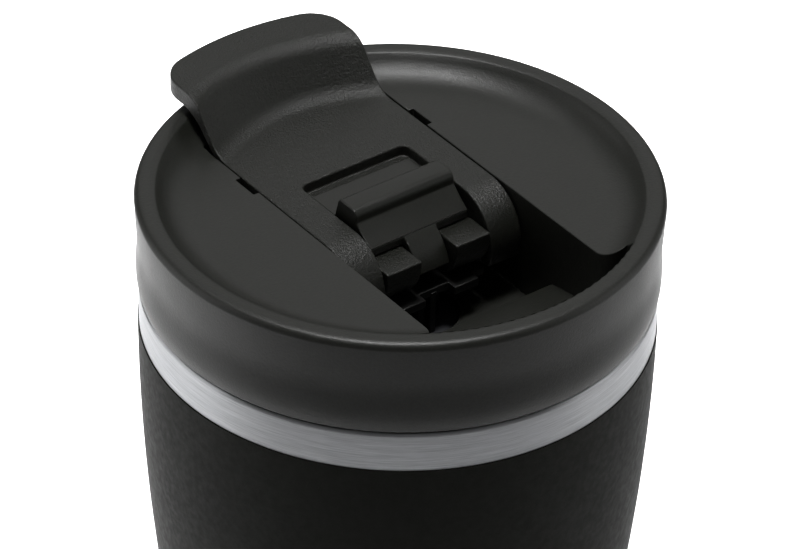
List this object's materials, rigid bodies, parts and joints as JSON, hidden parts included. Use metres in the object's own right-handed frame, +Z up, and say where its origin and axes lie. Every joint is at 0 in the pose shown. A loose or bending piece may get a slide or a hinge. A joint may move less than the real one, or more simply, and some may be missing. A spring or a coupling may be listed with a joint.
{
  "type": "insulated travel mug",
  "caption": "Double-walled steel travel mug, tapered and coated black, with a bare steel band and a screw-in plastic lid whose flip lever opens a sprung drinking valve.",
  "frame": {"origin": "centre of the underside of the base pad, on the surface the mug stands on", "axes": "+Z up along the mug's axis; the drinking side faces -Y and the thumb tab points to +Y; the lever's pin lies along X"},
  "size_m": [0.088, 0.0919, 0.1649],
  "materials": {
    "brushed_steel": "brushed around the mug",
    "black_coat": "satin powder coat",
    "liner_steel": "satin, as drawn",
    "getter_metal": "sintered",
    "solder": "dull",
    "black_silicone": "matte",
    "grey_silicone": "matte",
    "lid_plastic": "fine spark-eroded grain",
    "plug_plastic": "satin moulded",
    "lever_plastic": "coarser spark-eroded grain",
    "lock_plastic": "satin moulded",
    "pin_steel": "ground",
    "spring_steel": "drawn wire"
  },
  "bodies": {
    "mug": {"outer_shell": "brushed_steel", "body_coat": "black_coat", "inner_liner": "liner_steel", "base_plate": "liner_steel", "getter": "getter_metal", "vacuum_seal": "solder", "base_pad": "black_silicone"},
    "lid_ring": {"lid_seal": "grey_silicone"},
    "lid": {"lid_shell": "lid_plastic", "lid_plug": "plug_plastic", "well_ring": "grey_silicone", "valve_guide": "plug_plastic", "hinge_pin": "pin_steel", "valve_spring": "spring_steel"},
    "lever": {"lever": "lever_plastic"},
    "lock": {"lock_slide": "lock_plastic", "lock_bolt": "plug_plastic"},
    "valve": {"valve_plunger": "plug_plastic", "valve_seal": "grey_silicone", "seal_retainer": "plug_plastic"}
  },
  "joints": [
    {"name": "lid_lift", "type": "slide", "parent": "mug", "child": "lid_ring", "axis": [0, 0, 1], "range_m": [0, 0.0225]},
    {"name": "lid_turn", "type": "hinge", "parent": "lid_ring", "child": "lid", "pos_m": [0, 0, 0.142], "axis": [0, 0, 1], "range_deg": [0, 810]},
    {"name": "lever_hinge", "type": "hinge", "parent": "lid", "child": "lever", "pos_m": [0, -0.0025, 0.1483], "axis": [1, 0, 0], "range_deg": [0, 90]},
    {"name": "lock_travel", "type": "slide", "parent": "lever", "child": "lock", "axis": [0, 1, 0], "range_m": [0, 0.0021]},
    {"name": "valve_travel", "type": "slide", "parent": "lid", "child": "valve", "axis": [0, 0, -1], "range_m": [0, 0.0049], "stiffness_N_per_m": 30, "springref_m": -0.004, "deforming": ["valve_spring"]}
  ],
  "couplings": [
    {"joint": "lid_lift", "follows": "lid_turn", "m_per_rad": 0.0015915},
    {"joint": "valve_travel", "follows": "lever_hinge", "m_per_rad": 0.0031194}
  ]
}
